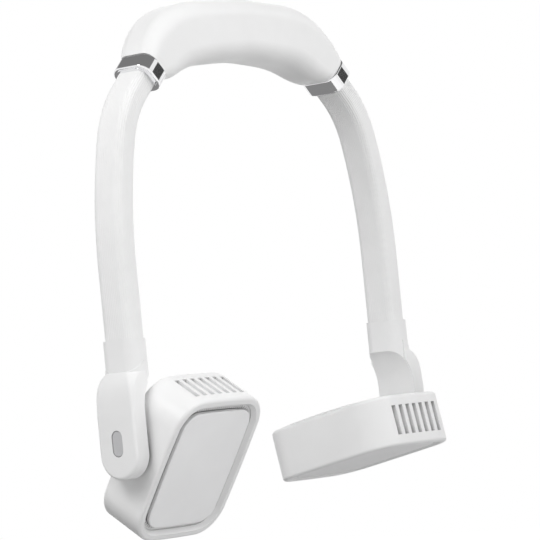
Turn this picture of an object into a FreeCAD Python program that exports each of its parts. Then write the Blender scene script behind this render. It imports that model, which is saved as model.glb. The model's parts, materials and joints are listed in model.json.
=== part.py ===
"""Electric neck fan: a crescent on the neck, two bendable arms and two tilting blower heads.

Frame: +Z up, +X to the right as seen from the front, -Y to the front, the origin at the middle
of the crescent's inner face, where it rests on the neck. Millimetres and degrees.
"""
import FreeCAD, Part
import math
import os
import re

V = FreeCAD.Vector
X_AXIS = V(1, 0, 0)
Y_AXIS = V(0, 1, 0)
Z_AXIS = V(0, 0, 1)

# Driving dimensions, one spreadsheet row each
SIZES = {
    # Cuts and fits
    "overrun": 2.0,
    "slip_fit": 0.1,
    "seat_fit": 0.05,
    # Crescent
    "band_height": 30.5,
    "band_depth": 27.0,
    "band_bow": 2.0,
    "band_end_height": 18.2,
    "band_end_depth": 21.8,
    "band_wall": 2.4,
    "band_end_wall": 4.0,
    "band_split": 5.0,
    "cell_radius": 7.2,
    "cell_length": 44.0,
    "cell_middle": 27.5,
    "cell_drop": 1.4,
    "cell_angle": 9.0,
    "cell_inset": 1.0,
    "rib_thick": 2.0,
    "rib_inner": 14.0,
    "rib_outer": 40.0,
    "board_length": 40.0,
    "board_height": 11.0,
    "board_thick": 1.2,
    "board_gap": 2.4,
    "board_lift": 9.0,
    "post_radius": 2.0,
    "post_reach": 15.0,
    "port_width": 9.0,
    "port_height": 3.4,
    "port_wall": 0.35,
    "port_tongue": 0.8,
    "band_screw_reach": 54.5,
    "band_screw_lift": 3.6,
    "screw_radius": 1.0,
    "screw_head_radius": 2.0,
    "screw_head_thick": 1.3,
    "screw_grip": 7.0,
    "boss_radius": 2.5,
    # Ferrules and arms
    "ring_top_x": 69.5,
    "ring_top_drop": 4.2,
    "ring_angle": 45.0,
    "ring_length": 8.6,
    "ring_depth": 23.4,
    "ring_height": 17.6,
    "ring_corner": 6.4,
    "ring_round": 0.9,
    "ring_bead": 1.2,
    "ring_bead_rise": 0.8,
    "hose_depth": 17.4,
    "hose_width": 12.7,
    "hose_corner": 4.0,
    "hose_wall": 1.9,
    "hose_lead": 8.2,
    "first_bend_radius": 50.5,
    "first_bend_turn": 30.0,
    "second_bend_radius": 237.0,
    "hose_tuck": 12.0,
    "spine_radius": 3.4,
    "spine_side": 2.3,
    "spine_anchor": 3.0,
    "knuckle_gap": 0.3,
    "cable_radius": 1.3,
    "cable_side": 3.9,
    # Brackets
    "sleeve_drop": 134.6,
    "sleeve_depth": 20.6,
    "sleeve_width": 14.5,
    "sleeve_outer_corner": 5.6,
    "sleeve_inner_corner": 6.4,
    "arm_thick": 3.5,
    "scoop_radius": 21.4,
    "scoop_drop": 34.3,
    "pivot_drop": 53.9,
    "hub_radius": 10.0,
    "hub_length": 2.2,
    "cover_depth": 23.6,
    "cover_thick": 5.0,
    "cover_drop": 15.5,
    "cover_shoulder": 19.0,
    "cover_wall": 1.4,
    "cover_round": 1.6,
    "cover_lap": 0.4,
    "leaf_rise": 5.0,
    "leaf_reach": 8.0,
    # Tilt axle
    "axle_radius": 3.0,
    "axle_bore": 1.5,
    "axle_head_radius": 5.0,
    "axle_head_thick": 0.8,
    "washer_thick": 0.5,
    "washer_radius": 8.0,
    "bush_radius": 4.5,
    "bush_flange_radius": 6.0,
    "bush_flange_thick": 1.4,
    "bush_length": 5.0,
    "clip_radius": 4.8,
    "clip_thick": 1.2,
    # Push button
    "button_width": 6.2,
    "button_length": 12.2,
    "button_rise": 5.3,
    "button_recess": 0.3,
    "button_depth": 1.9,
    "button_flange": 0.8,
    "button_flange_thick": 0.7,
    "button_fit": 0.2,
    "button_gap": 0.7,
    "switch_board_thick": 0.8,
    "switch_board_width": 15.0,
    "switch_board_length": 20.0,
    "switch_side": 6.0,
    # Heads
    "head_width": 63.5,
    "head_length": 77.6,
    "head_thick": 26.2,
    "head_corner": 16.0,
    "head_side_bulge": 1.3,
    "head_end_bulge": 1.2,
    "head_wall": 1.8,
    "head_front_round": 1.6,
    "head_back_round": 2.0,
    "pivot_back": 3.9,
    "pivot_shift": 1.8,
    "left_tilt": 34.0,
    "right_tilt": 79.5,
    "rim_width": 3.4,
    "rim_bevel": 1.6,
    "rim_thick": 2.2,
    "groove_width": 2.3,
    "panel_thick": 2.0,
    "panel_recess": 0.5,
    "panel_crown": 0.6,
    "back_panel_thick": 2.0,
    "back_panel_crown": 1.5,
    "slot_width": 3.0,
    "slot_length": 15.2,
    "slot_pitch": 5.5,
    "grille_thick": 4.4,
    "grille_margin": 2.4,
    "head_boss_side": 5.7,
    "head_boss_end": 10.9,
    "head_boss_length": 15.0,
    # Blower
    "fan_side": 3.0,
    "fan_drop": 8.0,
    "fan_radius": 17.0,
    "fan_eye": 11.0,
    "fan_gap": 1.5,
    "scroll_step": 1.5,
    "scroll_wall": 1.4,
    "scroll_height": 13.8,
    "duct_half_width": 18.0,
    "deck_thick": 1.6,
    "tongue_angle": 115.0,
    "stator_flange_radius": 8.0,
    "stator_flange_thick": 1.0,
    "stator_radius": 5.6,
    "stator_height": 7.6,
    "cup_radius": 7.8,
    "cup_wall": 1.0,
    "cup_height": 9.4,
    "fan_lift": 0.8,
    "disc_thick": 1.0,
    "blade_height": 9.6,
    "blade_thick": 0.9,
    "blade_sweep": 18.0,
    "shaft_radius": 1.0,
    "shaft_end_gap": 0.3,
    "panel_post_radius": 2.0,
    "panel_post_reach": 17.2,
}

# Places along the crescent, from its middle to its end
BAND_X_SHARES = (0.0, 0.385, 0.65, 0.82, 1.0)
BAND_DROP_SHARES = (0.0, 0.085, 0.23, 0.52, 1.0)
BAND_TILT_SHARES = (0.0, 0.16, 0.4, 0.7, 1.0)
BAND_HEIGHT_SHARES = (1.0, 1.03, 1.05, 0.88, 0.0)
BAND_DEPTH_SHARES = (1.0, 1.0, 0.97, 0.7, 0.0)
BAND_BOW_SHARES = (0.0, 0.25, 0.9, 0.85, 0.0)
BAND_CORNER_SHARE = 0.66
# Growth of the bracket cover, from its top edge to its shoulder
COVER_DROP_SHARES = (0.0, 0.22, 0.6, 1.0)
COVER_GROWTH_SHARES = (0.0, 0.6, 0.92, 1.0)
BLADE_COUNT = 23
SLOT_COUNT = 7
PANEL_POST_ANGLES = (45.0, 160.0, 225.0, 315.0)

doc = FreeCAD.newDocument("NeckFan")
sheet = doc.addObject("Spreadsheet::Sheet", "Sizes")
for row, (alias, value) in enumerate(SIZES.items(), start=1):
    sheet.set(f"A{row}", alias)
    sheet.set(f"B{row}", str(value))
    sheet.setAlias(f"B{row}", alias)
doc.recompute()

nodes = {}


# Helpers that bind document objects to the sheet
def bind(obj, formulas):
    for target, formula in formulas.items():
        obj.setExpression(target, re.sub(r"\b(?!sin\b|cos\b)[a-z_]+", r"Sizes.\g<0>", formula))
    return obj


def primitive(kind, formulas):
    return bind(doc.addObject(f"Part::{kind}", kind), formulas)


def rod(side, inner, outer, radius, drop="0", across="0"):
    """A round bar along X between two distances from the middle, on one side."""
    bar = doc.addObject("Part::Cylinder", "Rod")
    bar.Placement = FreeCAD.Placement(V(), FreeCAD.Rotation(Y_AXIS, 90))
    start = inner if side > 0 else f"-({outer})"
    return bind(bar, {
        "Radius": radius,
        "Height": f"({outer}) - ({inner})",
        "Placement.Base.x": start,
        "Placement.Base.y": across,
        "Placement.Base.z": drop,
    })


def upright(radius, low, high, along="0", across="0"):
    """A round bar along Z between two heights."""
    return primitive("Cylinder", {
        "Radius": radius,
        "Height": f"({high}) - ({low})",
        "Placement.Base.x": along,
        "Placement.Base.y": across,
        "Placement.Base.z": low,
    })


def level_bar(radius, low, high, along, drop):
    """A round bar along Y between two depths."""
    bar = doc.addObject("Part::Cylinder", "Bar")
    bar.Placement = FreeCAD.Placement(V(), FreeCAD.Rotation(X_AXIS, -90))
    return bind(bar, {
        "Radius": radius,
        "Height": f"({high}) - ({low})",
        "Placement.Base.x": along,
        "Placement.Base.y": low,
        "Placement.Base.z": drop,
    })


def cut(base, tool):
    result = doc.addObject("Part::Cut", "Cut")
    result.Base = base
    result.Tool = tool
    return result


def fuse(*pieces):
    result = doc.addObject("Part::MultiFuse", "Fuse")
    result.Shapes = list(pieces)
    return result


def group(*pieces):
    result = doc.addObject("Part::Compound", "Group")
    result.Links = list(pieces)
    return result


def keep(name, obj, placement=None):
    """Name an object as one sub-part."""
    obj.Label = name
    if placement is not None:
        obj.Placement = placement.multiply(obj.Placement)
    nodes[name] = obj
    return obj


def keep_shape(name, shape, placement=None):
    """Name a shape that no primitive or body gives as one sub-part."""
    obj = doc.addObject("Part::Feature", "Shape")
    obj.Shape = shape
    return keep(name, obj, placement)


def side_name(side):
    return "right" if side > 0 else "left"


def mirrored(shape, side):
    return shape if side > 0 else shape.mirror(V(), X_AXIS)


# Outlines made of lines and arcs
def rounded_wire(centre, first, second, wide, high, corner):
    """A rounded rectangle round a centre, in the plane of two unit directions."""
    a = wide / 2
    b = high / 2
    diagonal = corner * math.sqrt(0.5)

    def at(u, v):
        return centre + first * u + second * v

    edges = []
    for su, sv in ((1, 1), (-1, 1), (-1, -1), (1, -1)):
        mid = at(su * (a - corner + diagonal), sv * (b - corner + diagonal))
        one = at(su * a, sv * (b - corner))
        two = at(su * (a - corner), sv * b)
        ends = (one, two) if su * sv > 0 else (two, one)
        edges.append(Part.Arc(ends[0], mid, ends[1]).toShape())
    closed = []
    for arc, following in zip(edges, edges[1:] + edges[:1]):
        closed.append(arc)
        closed.append(Part.makeLine(arc.lastVertex().Point, following.firstVertex().Point))
    return Part.Wire(closed)


def sagitta_radius(half_chord, rise):
    return (half_chord ** 2 + rise ** 2) / (2 * rise)


def head_wire(inset, level):
    """The head's outline: four bowed sides joined by tangent corners, drawn in by an inset."""
    a = sheet.head_width / 2
    b = sheet.head_length / 2
    corner = sheet.head_corner
    side_radius = sagitta_radius(b, sheet.head_side_bulge)
    end_radius = sagitta_radius(a, sheet.head_end_bulge)
    side_centre = V(a - side_radius, 0, 0)
    end_centre = V(0, b - end_radius, 0)
    corner_centre = circle_crossing(side_centre, side_radius - corner, end_centre, end_radius - corner)
    up = V(0, 0, level)
    tip = corner - inset
    to_side = (corner_centre - side_centre).normalize() * tip
    to_end = (corner_centre - end_centre).normalize() * tip
    to_mid = (to_side + to_end).normalize() * tip
    low = corner_centre + to_side
    mid = corner_centre + to_mid
    high = corner_centre + to_end
    side_mid = V(a - inset, 0, 0)
    end_mid = V(0, b - inset, 0)

    def turned(point, sx, sy):
        return V(point.x * sx, point.y * sy, 0) + up

    edges = []
    for sx, sy in ((1, 1), (-1, 1), (-1, -1), (1, -1)):
        ends = (low, high) if sx * sy > 0 else (high, low)
        edges.append(Part.Arc(turned(ends[0], sx, sy), turned(mid, sx, sy), turned(ends[1], sx, sy)))
        if sx * sy > 0:
            edges.append(Part.Arc(turned(high, sx, sy), turned(end_mid, sx, sy), turned(high, -sx, sy)))
        else:
            edges.append(Part.Arc(turned(low, sx, sy), turned(side_mid, sx, sy), turned(low, sx, -sy)))
    return Part.Wire([edge.toShape() for edge in edges])


def circle_crossing(one, one_radius, two, two_radius):
    """The crossing of two circles in the plane with the larger X."""
    across = two - one
    gap = across.Length
    along = (gap ** 2 + one_radius ** 2 - two_radius ** 2) / (2 * gap)
    off = math.sqrt(one_radius ** 2 - along ** 2)
    step = across.normalize()
    foot = one + step * along
    normal = V(-step.y, step.x, 0) * off
    return max((foot + normal, foot - normal), key=lambda point: point.x)


def head_slab(inset, low, high):
    return Part.Face(head_wire(inset, low)).extrude(V(0, 0, high - low))


def near_level(shape, level):
    """Edges that lie in one horizontal plane."""
    return [edge for edge in shape.Edges
            if abs(edge.BoundBox.ZMin - level) + abs(edge.BoundBox.ZMax - level) < sheet.seat_fit]


# The arm's line from the crescent's end to the bracket, as straight runs and tangent arcs
def heading(angle):
    return V(math.cos(angle), 0, -math.sin(angle))


def arc_step(radius, start, end):
    return V(math.sin(end) - math.sin(start), 0, math.cos(end) - math.cos(start)) * radius


class ArmLine:
    """Points of one arm's centre line, on the right hand side."""

    def __init__(self):
        lead = math.radians(sheet.ring_angle)
        bend = lead + math.radians(sheet.first_bend_turn)
        down = math.pi / 2
        self.angles = (lead, bend, down)
        self.top = V(sheet.ring_top_x, 0, -sheet.ring_top_drop)
        self.ring_exit = self.top + heading(lead) * sheet.ring_length
        self.bend_one = self.ring_exit + heading(lead) * sheet.hose_lead
        self.bend_two = self.bend_one + arc_step(sheet.first_bend_radius, lead, bend)
        self.knuckle = self.bend_two + arc_step(sheet.second_bend_radius, bend, down)
        self.run_x = self.knuckle.x

    def wire(self, back, low, side, across):
        """From a little behind the top to a height below the bends."""
        lead, bend, down = self.angles
        first_mid = self.bend_one + arc_step(sheet.first_bend_radius, lead, (lead + bend) / 2)
        second_mid = self.bend_two + arc_step(sheet.second_bend_radius, bend, (bend + down) / 2)

        def put(point):
            return V(point.x * side, across, point.z)

        start = self.top - heading(lead) * back
        edges = [
            Part.LineSegment(put(start), put(self.bend_one)),
            Part.Arc(put(self.bend_one), put(first_mid), put(self.bend_two)),
            Part.Arc(put(self.bend_two), put(second_mid), put(self.knuckle)),
        ]
        if low < self.knuckle.z:
            edges.append(Part.LineSegment(put(self.knuckle), put(V(self.run_x, 0, low))))
        return Part.Wire([edge.toShape() for edge in edges])

    def normal(self, side):
        """The direction square to the arm's start, in the arm's plane."""
        lead = self.angles[0]
        return V(math.sin(lead) * side, 0, math.cos(lead))


arm = ArmLine()
sleeve_top = -sheet.sleeve_drop
pivot_z = sleeve_top - sheet.pivot_drop
sleeve_outer = arm.run_x + sheet.sleeve_width / 2
arm_face = sleeve_outer - sheet.arm_thick
hub_face = arm_face - sheet.hub_length
head_outer = hub_face - sheet.washer_thick - sheet.slip_fit
RUN_X = (
    "ring_top_x + (ring_length + hose_lead) * cos(ring_angle)"
    " + first_bend_radius * (sin(ring_angle + first_bend_turn) - sin(ring_angle))"
    " + second_bend_radius * (1 - sin(ring_angle + first_bend_turn))"
)


def arm_tube(section, back, low, side, across):
    """Sweep a closed outline down the arm."""
    return arm.wire(back, low, side, across).makePipeShell([section], True, False)


def arm_section(wide, high, corner, back, side):
    start = arm.top - heading(arm.angles[0]) * back
    centre = V(start.x * side, 0, start.z)
    return rounded_wire(centre, Y_AXIS, arm.normal(side), wide, high, corner)


def arm_circle(radius, back, side, across):
    start = arm.top - heading(arm.angles[0]) * back
    along = heading(arm.angles[0])
    centre = V(start.x * side, across, start.z)
    return Part.Wire(Part.makeCircle(radius, centre, V(along.x * side, 0, along.z)))


# Crescent: a loft through rounded sections, hollow, split behind its middle
def band_loft(inset, back):
    sections = []
    height_range = sheet.band_height - sheet.band_end_height
    depth_range = sheet.band_depth - sheet.band_end_depth
    middle_z = sheet.band_height / 2
    fall = middle_z + sheet.ring_top_drop
    stations = list(zip(BAND_X_SHARES, BAND_DROP_SHARES, BAND_TILT_SHARES,
                        BAND_HEIGHT_SHARES, BAND_DEPTH_SHARES, BAND_BOW_SHARES))
    for side, row in ((-1, stations[:0:-1]), (1, stations)):
        for x_share, drop_share, tilt_share, height_share, depth_share, bow_share in row:
            tilt = math.radians(sheet.ring_angle) * tilt_share
            at_end = back if x_share == BAND_X_SHARES[-1] else 0
            centre = V(sheet.ring_top_x * x_share, 0, middle_z - fall * drop_share)
            centre = centre - heading(tilt) * at_end
            high = sheet.band_end_height + height_range * height_share - 2 * inset
            wide = sheet.band_end_depth + depth_range * depth_share - 2 * inset
            out = V(math.sin(tilt) * side, 0, math.cos(tilt))
            corner = min(high, wide) / 2 * BAND_CORNER_SHARE
            centre = V(centre.x * side, sheet.band_bow * bow_share, centre.z)
            sections.append(rounded_wire(centre, Y_AXIS, out, wide, high, corner))
    return Part.makeLoft(sections, True, False)


def cell_shape(side, grow):
    """One battery cell as a bar along the crescent."""
    fall = math.radians(sheet.cell_angle)
    along = V(math.cos(fall) * side, 0, -math.sin(fall))
    middle = V(sheet.cell_middle * side, -sheet.cell_inset, sheet.band_height / 2 - sheet.cell_drop)
    start = middle - along * (sheet.cell_length / 2)
    return Part.makeCylinder(sheet.cell_radius + grow, sheet.cell_length, start, along)


def along_y(radius, low, high, x, z):
    return Part.makeCylinder(radius, high - low, V(x, low, z), Y_AXIS)


def box_between(low, high):
    size = high - low
    return Part.makeBox(size.x, size.y, size.z, low)


def build_crescent():
    outer = band_loft(0, 0)
    cavity = band_loft(sheet.band_wall, sheet.band_end_wall)
    far = sheet.sleeve_drop
    split = sheet.band_split
    front_half = box_between(V(-far, -far, -far), V(far, split, far))
    back_half = box_between(V(-far, split, -far), V(far, far, far))
    wall = outer.cut(cavity)
    half_depth = sheet.band_depth / 2
    cells = [cell_shape(side, 0) for side in (-1, 1)]
    seats = [cell_shape(side, sheet.slip_fit) for side in (-1, 1)]
    half_rib = sheet.rib_thick / 2
    ribs = []
    for middle in (sheet.rib_inner, sheet.rib_outer):
        for side in (-1, 1):
            low = V(middle * side - half_rib, -half_depth, -half_depth)
            high = V(middle * side + half_rib, split, sheet.band_height + half_depth)
            ribs.append(box_between(low, high).common(cavity).cut(Part.makeCompound(seats)))

    # Screw bosses in both halves, in line with the screws
    screw_z = sheet.band_height / 2 - sheet.ring_top_drop - sheet.band_screw_lift
    back_y = half_depth + sheet.band_bow
    seat_y = back_y - sheet.band_wall - sheet.screw_head_thick
    bosses = []
    holes = []
    for side in (-1, 1):
        x = sheet.band_screw_reach * side
        bosses.append(along_y(sheet.boss_radius, -half_depth, back_y, x, screw_z).common(cavity))
        shank = along_y(sheet.screw_radius, split - sheet.screw_grip, seat_y, x, screw_z)
        well = along_y(sheet.screw_head_radius + sheet.slip_fit, seat_y, back_y, x, screw_z)
        holes.append(shank.fuse(well))

    # Board and charging socket on the back half
    board_y = half_depth - sheet.band_wall - sheet.board_gap
    port_z = sheet.board_lift + sheet.board_height / 2
    posts = []
    for side in (-1, 1):
        post = along_y(sheet.post_radius, board_y, half_depth, sheet.post_reach * side, port_z)
        posts.append(post.common(cavity))
    port = port_shell(board_y, half_depth, port_z)
    port_hole = port_block(board_y, half_depth + sheet.overrun, port_z, sheet.slip_fit)

    # Ends let the spine and the lead through
    passages = []
    for side in (-1, 1):
        back = sheet.band_end_wall + sheet.overrun
        core = arm_circle(sheet.spine_radius, sheet.spine_anchor, side, sheet.spine_side)
        passages.append(arm_tube(core, sheet.spine_anchor, arm.knuckle.z, side, sheet.spine_side))
        lead = arm_circle(sheet.cable_radius, back, side, -sheet.cable_side)
        passages.append(arm_tube(lead, back, arm.knuckle.z, side, -sheet.cable_side))
    openings = Part.makeCompound(holes + passages)
    shell = wall.common(front_half).fuse(ribs + [boss.common(front_half) for boss in bosses])
    cover = wall.common(back_half).fuse(posts + [boss.common(back_half) for boss in bosses])
    keep_shape("neckband_shell", shell.cut(openings).removeSplitter())
    keep_shape("neckband_back_cover", cover.cut(openings).cut(port_hole).removeSplitter())
    keep_shape("battery_cells", Part.makeCompound(cells))
    keep_shape("charge_port", port)
    build_crescent_hardware()


def build_crescent_hardware():
    """The plain pieces of the crescent, bound to the sheet."""
    keep("charge_board", primitive("Box", {
        "Length": "board_length",
        "Width": "board_thick",
        "Height": "board_height",
        "Placement.Base.x": "-board_length / 2",
        "Placement.Base.y": "band_depth / 2 - band_wall - board_gap - board_thick",
        "Placement.Base.z": "board_lift",
    }))
    seat = "band_depth / 2 + band_bow - band_wall - screw_head_thick"
    drop = "band_height / 2 - ring_top_drop - band_screw_lift"
    screws = []
    for side in (-1, 1):
        along = f"band_screw_reach * {side}"
        shank = level_bar("screw_radius", "band_split - screw_grip", seat, along, drop)
        head = level_bar("screw_head_radius", seat, f"{seat} + screw_head_thick", along, drop)
        screws.append(fuse(shank, head))
    keep("neckband_screws", group(*screws))


def port_block(low, high, level, grow):
    corner = sheet.port_height / 2 + grow - sheet.slip_fit
    outline = rounded_wire(V(0, low, level), X_AXIS, Z_AXIS, sheet.port_width + 2 * grow,
                           sheet.port_height + 2 * grow, corner)
    return Part.Face(outline).extrude(V(0, high - low, 0))


def port_shell(low, high, level):
    """The charging socket: an oval can with a tongue inside."""
    can = port_block(low, high, level, 0)
    floor = low + sheet.port_wall + sheet.port_tongue
    hollow = port_block(floor, high + sheet.overrun, level, -sheet.port_wall)
    half_tongue = sheet.port_tongue / 2
    reach = sheet.port_width / 2 - sheet.port_height / 2
    tongue = box_between(V(-reach, low, level - half_tongue),
                         V(reach, high - sheet.port_tongue, level + half_tongue))
    return can.cut(hollow).fuse(tongue)


# Ferrule, hose skin, bendable core and lead of one arm
def build_arm(side):
    name = side_name(side)
    lead = heading(arm.angles[0])
    along = V(lead.x * side, 0, lead.z)
    length = sheet.ring_length
    ring_face = Part.Face(arm_section(sheet.ring_depth, sheet.ring_height, sheet.ring_corner, 0, side))
    ring = ring_face.extrude(along * length)
    caps = [face for face in ring.Faces if abs(face.Area - ring_face.Area) < sheet.seat_fit]
    ring = ring.makeFillet(sheet.ring_round, [edge for face in caps for edge in face.Edges])
    bead_deep = sheet.hose_depth + 2 * sheet.ring_bead
    bead_high = sheet.hose_width + 2 * sheet.ring_bead
    bead_face = Part.Face(arm_section(bead_deep, bead_high, sheet.hose_corner + sheet.ring_bead, 0, side))
    bead = bead_face.extrude(along * (length + sheet.ring_bead_rise))
    bore = Part.Face(arm_section(sheet.hose_depth, sheet.hose_width, sheet.hose_corner, 0, side))
    bore = bore.extrude(along * (length + sheet.overrun))
    keep_shape(f"{name}_ring", ring.fuse(bead).cut(bore).removeSplitter())

    hose_end = sleeve_top - sheet.hose_tuck
    skin = arm_tube(arm_section(sheet.hose_depth, sheet.hose_width, sheet.hose_corner, 0, side),
                    0, hose_end, side, 0)
    inner_depth = sheet.hose_depth - 2 * sheet.hose_wall
    inner_width = sheet.hose_width - 2 * sheet.hose_wall
    inner_corner = sheet.hose_corner - sheet.hose_wall
    inner = arm_tube(arm_section(inner_depth, inner_width, inner_corner, 0, side), 0, hose_end, side, 0)
    keep_shape(f"{name}_hose", skin.cut(inner))

    # The core is cut at one knuckle: a round end over a matching saddle
    knuckle = V(arm.knuckle.x * side, 0, arm.knuckle.z)
    core = arm_circle(sheet.spine_radius, sheet.spine_anchor, side, sheet.spine_side)
    upper = arm_tube(core, sheet.spine_anchor, arm.knuckle.z, side, sheet.spine_side)
    low_side = sheet.spine_side - sheet.spine_radius
    high_side = sheet.spine_side + sheet.spine_radius
    ball = along_y(sheet.spine_radius, low_side, high_side, knuckle.x, knuckle.z)
    keep_shape(f"{name}_spine_upper", upper.fuse(ball))
    spine_end = hose_end - sheet.spine_anchor
    lower = Part.makeCylinder(sheet.spine_radius, knuckle.z - spine_end,
                              V(knuckle.x, sheet.spine_side, spine_end), Z_AXIS)
    saddle = along_y(sheet.spine_radius + sheet.knuckle_gap, low_side - sheet.overrun,
                     high_side + sheet.overrun, knuckle.x, knuckle.z)
    keep_shape(f"{name}_spine_lower", max(lower.cut(saddle).Solids, key=lambda part: part.Volume))

    back = sheet.band_end_wall
    lead_wire = arm_circle(sheet.cable_radius, back, side, -sheet.cable_side)
    keep_shape(f"{name}_cable", arm_tube(lead_wire, back, spine_end, side, -sheet.cable_side))


# Bracket: a sleeve round the hose that turns into a thin arm beside the head
def build_bracket(side):
    name = side_name(side)
    half_depth = sheet.sleeve_depth / 2
    half_width = sheet.sleeve_width / 2
    middle = arm.run_x
    body = box_between(V(middle - half_width, -half_depth, pivot_z - half_depth),
                       V(middle + half_width, half_depth, sleeve_top))
    uprights = [e for e in body.Edges if e.BoundBox.ZLength > sheet.sleeve_depth]
    body = body.makeFillet(sheet.sleeve_inner_corner, [e for e in uprights if e.CenterOfMass.x < middle])
    uprights = [e for e in body.Edges if e.BoundBox.ZLength > sheet.sleeve_depth]
    outer_edges = [e for e in uprights if e.CenterOfMass.x > middle + half_width / 2]
    body = body.makeFillet(sheet.sleeve_outer_corner, outer_edges)

    # The scoop that the head turns under
    scoop_z = sleeve_top - sheet.scoop_drop
    clear = sheet.cover_depth
    scoop = along_y(sheet.scoop_radius, -clear, clear, arm_face - sheet.scoop_radius, scoop_z)
    inside = arm_face - sheet.sleeve_width
    below = box_between(V(inside, -clear, pivot_z - clear), V(arm_face, clear, scoop_z))
    under = scoop.fuse(below)
    plain = body.common(stadium(half_depth, inside, sleeve_outer, sleeve_top))
    body = plain.cut(under)

    # Hub, axle hole, hose socket, core hole and lead hole
    pivot = V(hub_face, 0, pivot_z)
    hub = Part.makeCylinder(sheet.hub_radius, sheet.hub_length, pivot, X_AXIS)
    axle_hole = Part.makeCylinder(sheet.axle_radius, sheet.sleeve_width, pivot, X_AXIS)
    hose_end = sleeve_top - sheet.hose_tuck
    fit = sheet.slip_fit
    mouth = rounded_wire(V(middle, 0, hose_end - fit), Y_AXIS, X_AXIS, sheet.hose_depth + 2 * fit,
                         sheet.hose_width + 2 * fit, sheet.hose_corner + fit)
    socket = Part.Face(mouth).extrude(V(0, 0, sheet.hose_tuck + sheet.overrun))
    spine_end = hose_end - sheet.spine_anchor
    core_foot = V(middle, sheet.spine_side, spine_end)
    core_hole = Part.makeCylinder(sheet.spine_radius, sheet.hose_tuck, core_foot)
    lead_foot = V(middle, -sheet.cable_side, spine_end - fit)
    lead_hole = Part.makeCylinder(sheet.cable_radius + fit, sheet.hose_tuck, lead_foot)
    body = body.fuse(hub).cut(Part.makeCompound([axle_hole, socket, core_hole, lead_hole]))
    keep_shape(f"{name}_bracket", mirrored(body.removeSplitter(), side))
    build_bracket_cover(side, plain.fuse(under))


def stadium(half_depth, inner, outer, top):
    """A slab with a round lower end about the tilt axle."""
    disc = Part.makeCylinder(half_depth, outer - inner, V(inner, 0, pivot_z), X_AXIS)
    slab = box_between(V(inner, -half_depth, pivot_z), V(outer, half_depth, top))
    return slab.fuse(disc)


def slab_y(wire, half):
    return Part.Face(wire).extrude(V(0, 2 * half, 0)).translated(V(0, -half, 0))


# Bracket cover: it grows out of the sleeve, closes the arm's outer side and laps its edges
def cover_section(drop_share, growth, inset):
    """A level outline of the cover's shoulder, between the sleeve's form and the full cover."""
    lap_corner = sheet.sleeve_outer_corner + sheet.cover_lap
    side_step = (sheet.cover_depth - sheet.sleeve_depth) / 2
    inner = sleeve_outer - sheet.sleeve_width - side_step
    outer = sleeve_outer + sheet.cover_lap + (sheet.cover_thick - sheet.cover_lap) * growth - inset
    half = sheet.sleeve_depth / 2 + sheet.cover_lap + (side_step - sheet.cover_lap) * growth - inset
    corner = max(lap_corner + (sheet.cover_round - lap_corner) * growth - inset, sheet.slip_fit)
    level = sleeve_top - sheet.cover_drop - sheet.cover_shoulder * drop_share
    centre = V((inner + outer) / 2, 0, level)
    return rounded_wire(centre, X_AXIS, Y_AXIS, outer - inner, 2 * half, corner)


def cover_loft(first, inset):
    shares = list(zip(COVER_DROP_SHARES, COVER_GROWTH_SHARES))[first:]
    return Part.makeLoft([cover_section(drop, growth, inset) for drop, growth in shares], True, False)


def build_bracket_cover(side, taken):
    name = side_name(side)
    half = sheet.cover_depth / 2
    outer = sleeve_outer + sheet.cover_thick
    top = sleeve_top - sheet.cover_drop
    shoulder = top - sheet.cover_shoulder
    edge = sleeve_outer - sheet.leaf_reach
    plate = stadium(half, edge, outer, shoulder).removeSplitter()
    rims = [e for e in plate.Edges if e.BoundBox.XMin > sleeve_outer]
    plate = plate.makeFillet(sheet.cover_round, [e for e in rims if e.BoundBox.ZMin < shoulder - half])

    # Pointed leaves that lie on the sleeve's sides above the shoulder
    root = V(sleeve_outer + sheet.cover_lap, 0, top)
    leaf_line = Part.makePolygon([root, V(edge, 0, top + sheet.leaf_rise), V(edge, 0, top), root])
    lap = Part.Face(cover_section(0, 0, 0)).extrude(V(0, 0, sheet.leaf_rise))
    leaves = lap.common(slab_y(leaf_line, half))
    lips = box_between(V(edge, -half, pivot_z - half), V(outer, half, top))
    solid = plate.fuse([cover_loft(0, 0).common(lips), leaves]).cut(taken)

    wall = sheet.cover_wall
    room = box_between(V(sleeve_outer, -half, pivot_z - half), V(outer, half, top))
    hollow = stadium(half - wall, sleeve_outer, outer - wall, shoulder)
    solid = solid.cut(hollow.fuse(cover_loft(1, wall).common(room)))
    if side < 0:
        solid = solid.cut(button_bar(sheet.button_fit, sleeve_outer, outer + sheet.overrun))
    keep_shape(f"{name}_bracket_cover", mirrored(solid.removeSplitter(), side))


# Push button and its switch, on the left arm
def button_bar(grow, inner, outer):
    """A bar along X with the button's oval outline."""
    centre = V(inner, 0, pivot_z + sheet.button_rise)
    wide = sheet.button_width + 2 * grow
    corner = wide / 2 - sheet.seat_fit
    wire = rounded_wire(centre, Y_AXIS, Z_AXIS, wide, sheet.button_length + 2 * grow, corner)
    return Part.Face(wire).extrude(V(outer - inner, 0, 0))


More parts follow.
